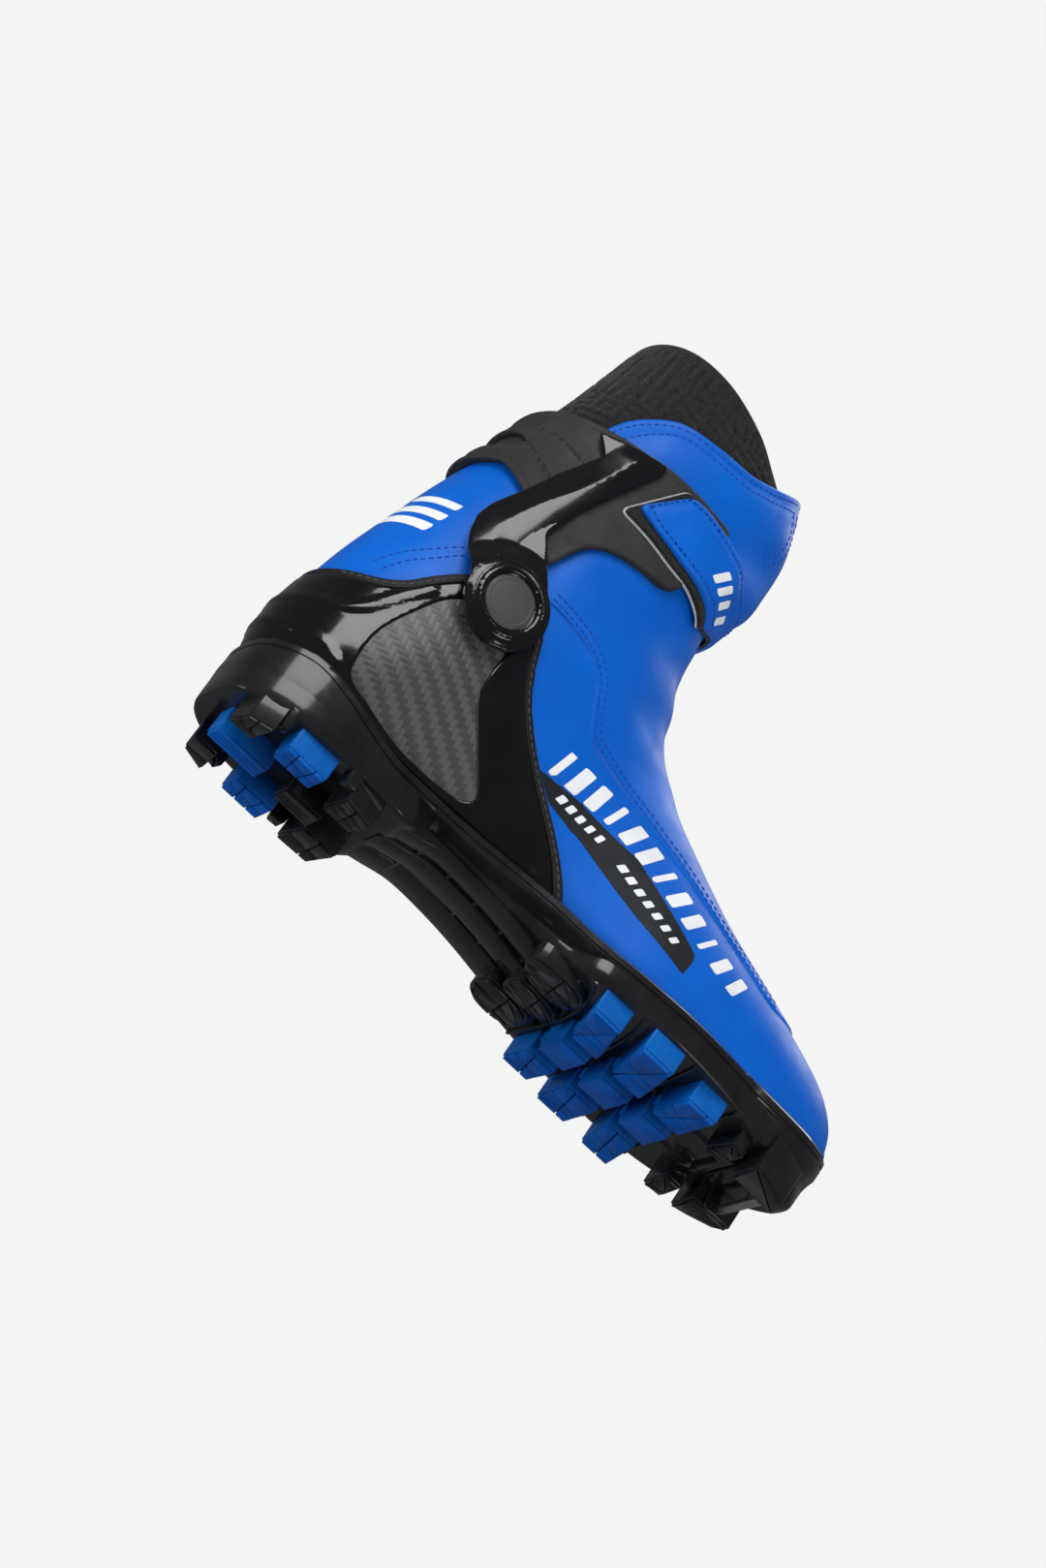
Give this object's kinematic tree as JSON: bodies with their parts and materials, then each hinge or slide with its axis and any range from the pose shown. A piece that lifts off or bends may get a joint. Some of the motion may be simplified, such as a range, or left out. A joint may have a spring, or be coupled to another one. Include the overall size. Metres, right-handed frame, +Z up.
{
  "type": "cross-country ski boot",
  "caption": "Low blue and black ski boot for the right foot with a hinged ankle cuff, a heel counter, an ankle strap, a knitted sock collar and a lugged sole with a binding bar at the toe.",
  "frame": {"origin": "on the ground under the middle of the bounding box", "axes": "+X to the toe, +Y to the inner side of the foot (left), +Z up"},
  "size_m": [0.2928, 0.1012, 0.245],
  "materials": {
    "black_rubber": "semi-gloss moulded rubber",
    "blue_rubber": "matte moulded rubber",
    "blue_leather": "smooth synthetic leather",
    "gloss_black": "high gloss",
    "matte_black": "matte, fine grain",
    "woven_panel": "woven look, satin lacquer",
    "knit": "knitted, matte",
    "steel": "brushed",
    "board": "pressed fibre, matte",
    "foam": "foam, matte",
    "hook_pile": "looped pile, matte",
    "nylon": "satin"
  },
  "bodies": {
    "boot": {"outsole": "black_rubber", "tread_row_1": "blue_rubber", "tread_row_2": "blue_rubber", "tread_row_3": "blue_rubber", "heel_tread_middle": "blue_rubber", "heel_tread_outer": "blue_rubber", "heel_tread_inner": "blue_rubber", "vamp": "blue_leather", "quarter_outer": "blue_leather", "quarter_inner": "blue_leather", "lace_cover": "blue_leather", "ankle_flex": "blue_leather", "heel_counter": "gloss_black", "counter_binding": "matte_black", "side_panel_outer": "woven_panel", "side_panel_inner": "woven_panel", "liner_foot": "knit", "liner_ankle": "knit", "binding_bar": "steel", "pivot_rivet_outer": "steel", "pivot_rivet_inner": "steel", "lasting_board": "board", "footbed": "foam", "tongue": "foam", "shank_plate": "nylon", "heel_stiffener": "nylon", "toe_puff": "nylon", "lace": "nylon", "pivot_washer_outer": "nylon", "pivot_washer_inner": "nylon", "zip_chain": "nylon"},
    "cuff": {"cuff_shell": "matte_black", "cuff_arm_outer": "gloss_black", "cuff_arm_inner": "gloss_black", "pivot_cap_outer": "matte_black", "pivot_cap_inner": "matte_black", "collar": "blue_leather", "sock_collar": "knit", "strap_base": "hook_pile", "strap_ring": "steel"},
    "strap": {"strap_flap": "blue_leather"},
    "zip": {"zip_slider": "steel"}
  },
  "joints": [
    {"name": "cuff_hinge", "type": "hinge", "parent": "boot", "child": "cuff", "pos_m": [-0.08863, 0, 0.093], "axis": [0, 1, 0], "range_deg": [-5, 18], "deforming": ["ankle_flex", "liner_ankle"]},
    {"name": "strap_hinge", "type": "hinge", "parent": "cuff", "child": "strap", "pos_m": [-0.03963, 0.045, 0.175], "axis": [0, 0, 1], "range_deg": [0, 100]},
    {"name": "zip_slide", "type": "slide", "parent": "boot", "child": "zip", "axis": [0.8944, 0, -0.4472], "range_m": [0, 0.04]}
  ]
}
